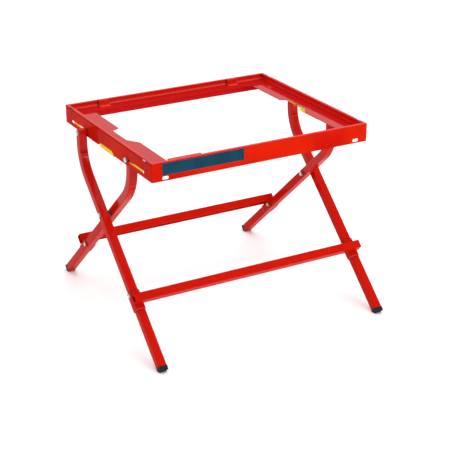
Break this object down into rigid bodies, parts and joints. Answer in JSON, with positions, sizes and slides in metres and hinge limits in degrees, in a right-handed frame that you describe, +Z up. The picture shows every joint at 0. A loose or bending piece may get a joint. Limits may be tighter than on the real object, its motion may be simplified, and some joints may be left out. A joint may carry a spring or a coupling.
{
  "type": "folding machine stand",
  "caption": "Low folding stand with an open rectangular frame, inner support shelves, bent scissor legs joined by crossbars, and side lock bars.",
  "frame": {"origin": "on the floor under the middle of the top frame, legs open", "axes": "+X to the right along the front rail, +Y to the rear, +Z up"},
  "size_m": [0.7696, 0.7656, 0.59],
  "materials": {
    "red_paint": "glossy red coat on sheet steel and tube",
    "blue_label": "thin coated plate, left bare",
    "bright_steel": "zinc plated",
    "spring_steel": "drawn wire",
    "yellow_paint": "glossy yellow coat",
    "yellow_plastic": "moulded, slightly glossy",
    "black_rubber": "matte moulded rubber"
  },
  "bodies": {
    "frame": {"front_rail": "red_paint", "rear_rail": "red_paint", "left_rail": "red_paint", "right_rail": "red_paint", "front_label": "blue_label", "left_deck": "red_paint", "right_deck": "red_paint", "rear_deck": "red_paint", "rear_stop_clips": "red_paint", "lock_guide_rivets": "bright_steel", "left_lock_springs": "spring_steel", "right_lock_springs": "spring_steel"},
    "slide_bolts": {"front_slide_bolts": "bright_steel", "front_slide_washers": "bright_steel", "front_slide_nuts": "bright_steel"},
    "inner_legs": {"left_inner_leg": "red_paint", "right_inner_leg": "red_paint", "rear_crossbar": "red_paint", "rear_saddles": "red_paint", "rear_foot_caps": "black_rubber", "rear_saddle_bolts": "bright_steel", "rear_saddle_nuts": "bright_steel", "pivot_bolts": "bright_steel", "pivot_nuts": "bright_steel", "pivot_spacers": "bright_steel"},
    "outer_legs": {"left_outer_leg": "red_paint", "right_outer_leg": "red_paint", "front_crossbar": "red_paint", "front_saddles": "red_paint", "front_foot_caps": "black_rubber", "front_saddle_bolts": "bright_steel", "front_saddle_nuts": "bright_steel", "rear_slide_bolts": "bright_steel", "rear_slide_washers": "bright_steel", "rear_slide_nuts": "bright_steel", "rear_slide_spacers": "bright_steel"},
    "left_lock": {"left_lock_bar": "yellow_paint", "left_lock_grip": "yellow_plastic"},
    "right_lock": {"right_lock_bar": "yellow_paint", "right_lock_grip": "yellow_plastic"}
  },
  "joints": [
    {"name": "front_slide", "type": "slide", "parent": "frame", "child": "slide_bolts", "axis": [0, -1, 0], "range_m": [0, 0.1062]},
    {"name": "leg_fold", "type": "hinge", "parent": "slide_bolts", "child": "inner_legs", "pos_m": [0, -0.137, 0.5515], "axis": [1, 0, 0], "range_deg": [0, 42]},
    {"name": "scissor_pivot", "type": "hinge", "parent": "inner_legs", "child": "outer_legs", "pos_m": [0, 0, 0.3402], "axis": [1, 0, 0], "range_deg": [-84, 0]},
    {"name": "left_lock_release", "type": "slide", "parent": "frame", "child": "left_lock", "axis": [0, 0, -1], "range_m": [0, 0.015], "deforming": ["left_lock_springs"]},
    {"name": "right_lock_release", "type": "slide", "parent": "frame", "child": "right_lock", "axis": [0, 0, -1], "range_m": [0, 0.015], "deforming": ["right_lock_springs"]}
  ],
  "couplings": [
    {"joint": "front_slide", "follows": "leg_fold", "m_per_rad": 0.14487},
    {"joint": "scissor_pivot", "follows": "leg_fold", "ratio": -2},
    {"joint": "left_lock_release", "follows": "leg_fold", "m_per_rad": 0.020462},
    {"joint": "right_lock_release", "follows": "leg_fold", "m_per_rad": 0.020462}
  ]
}
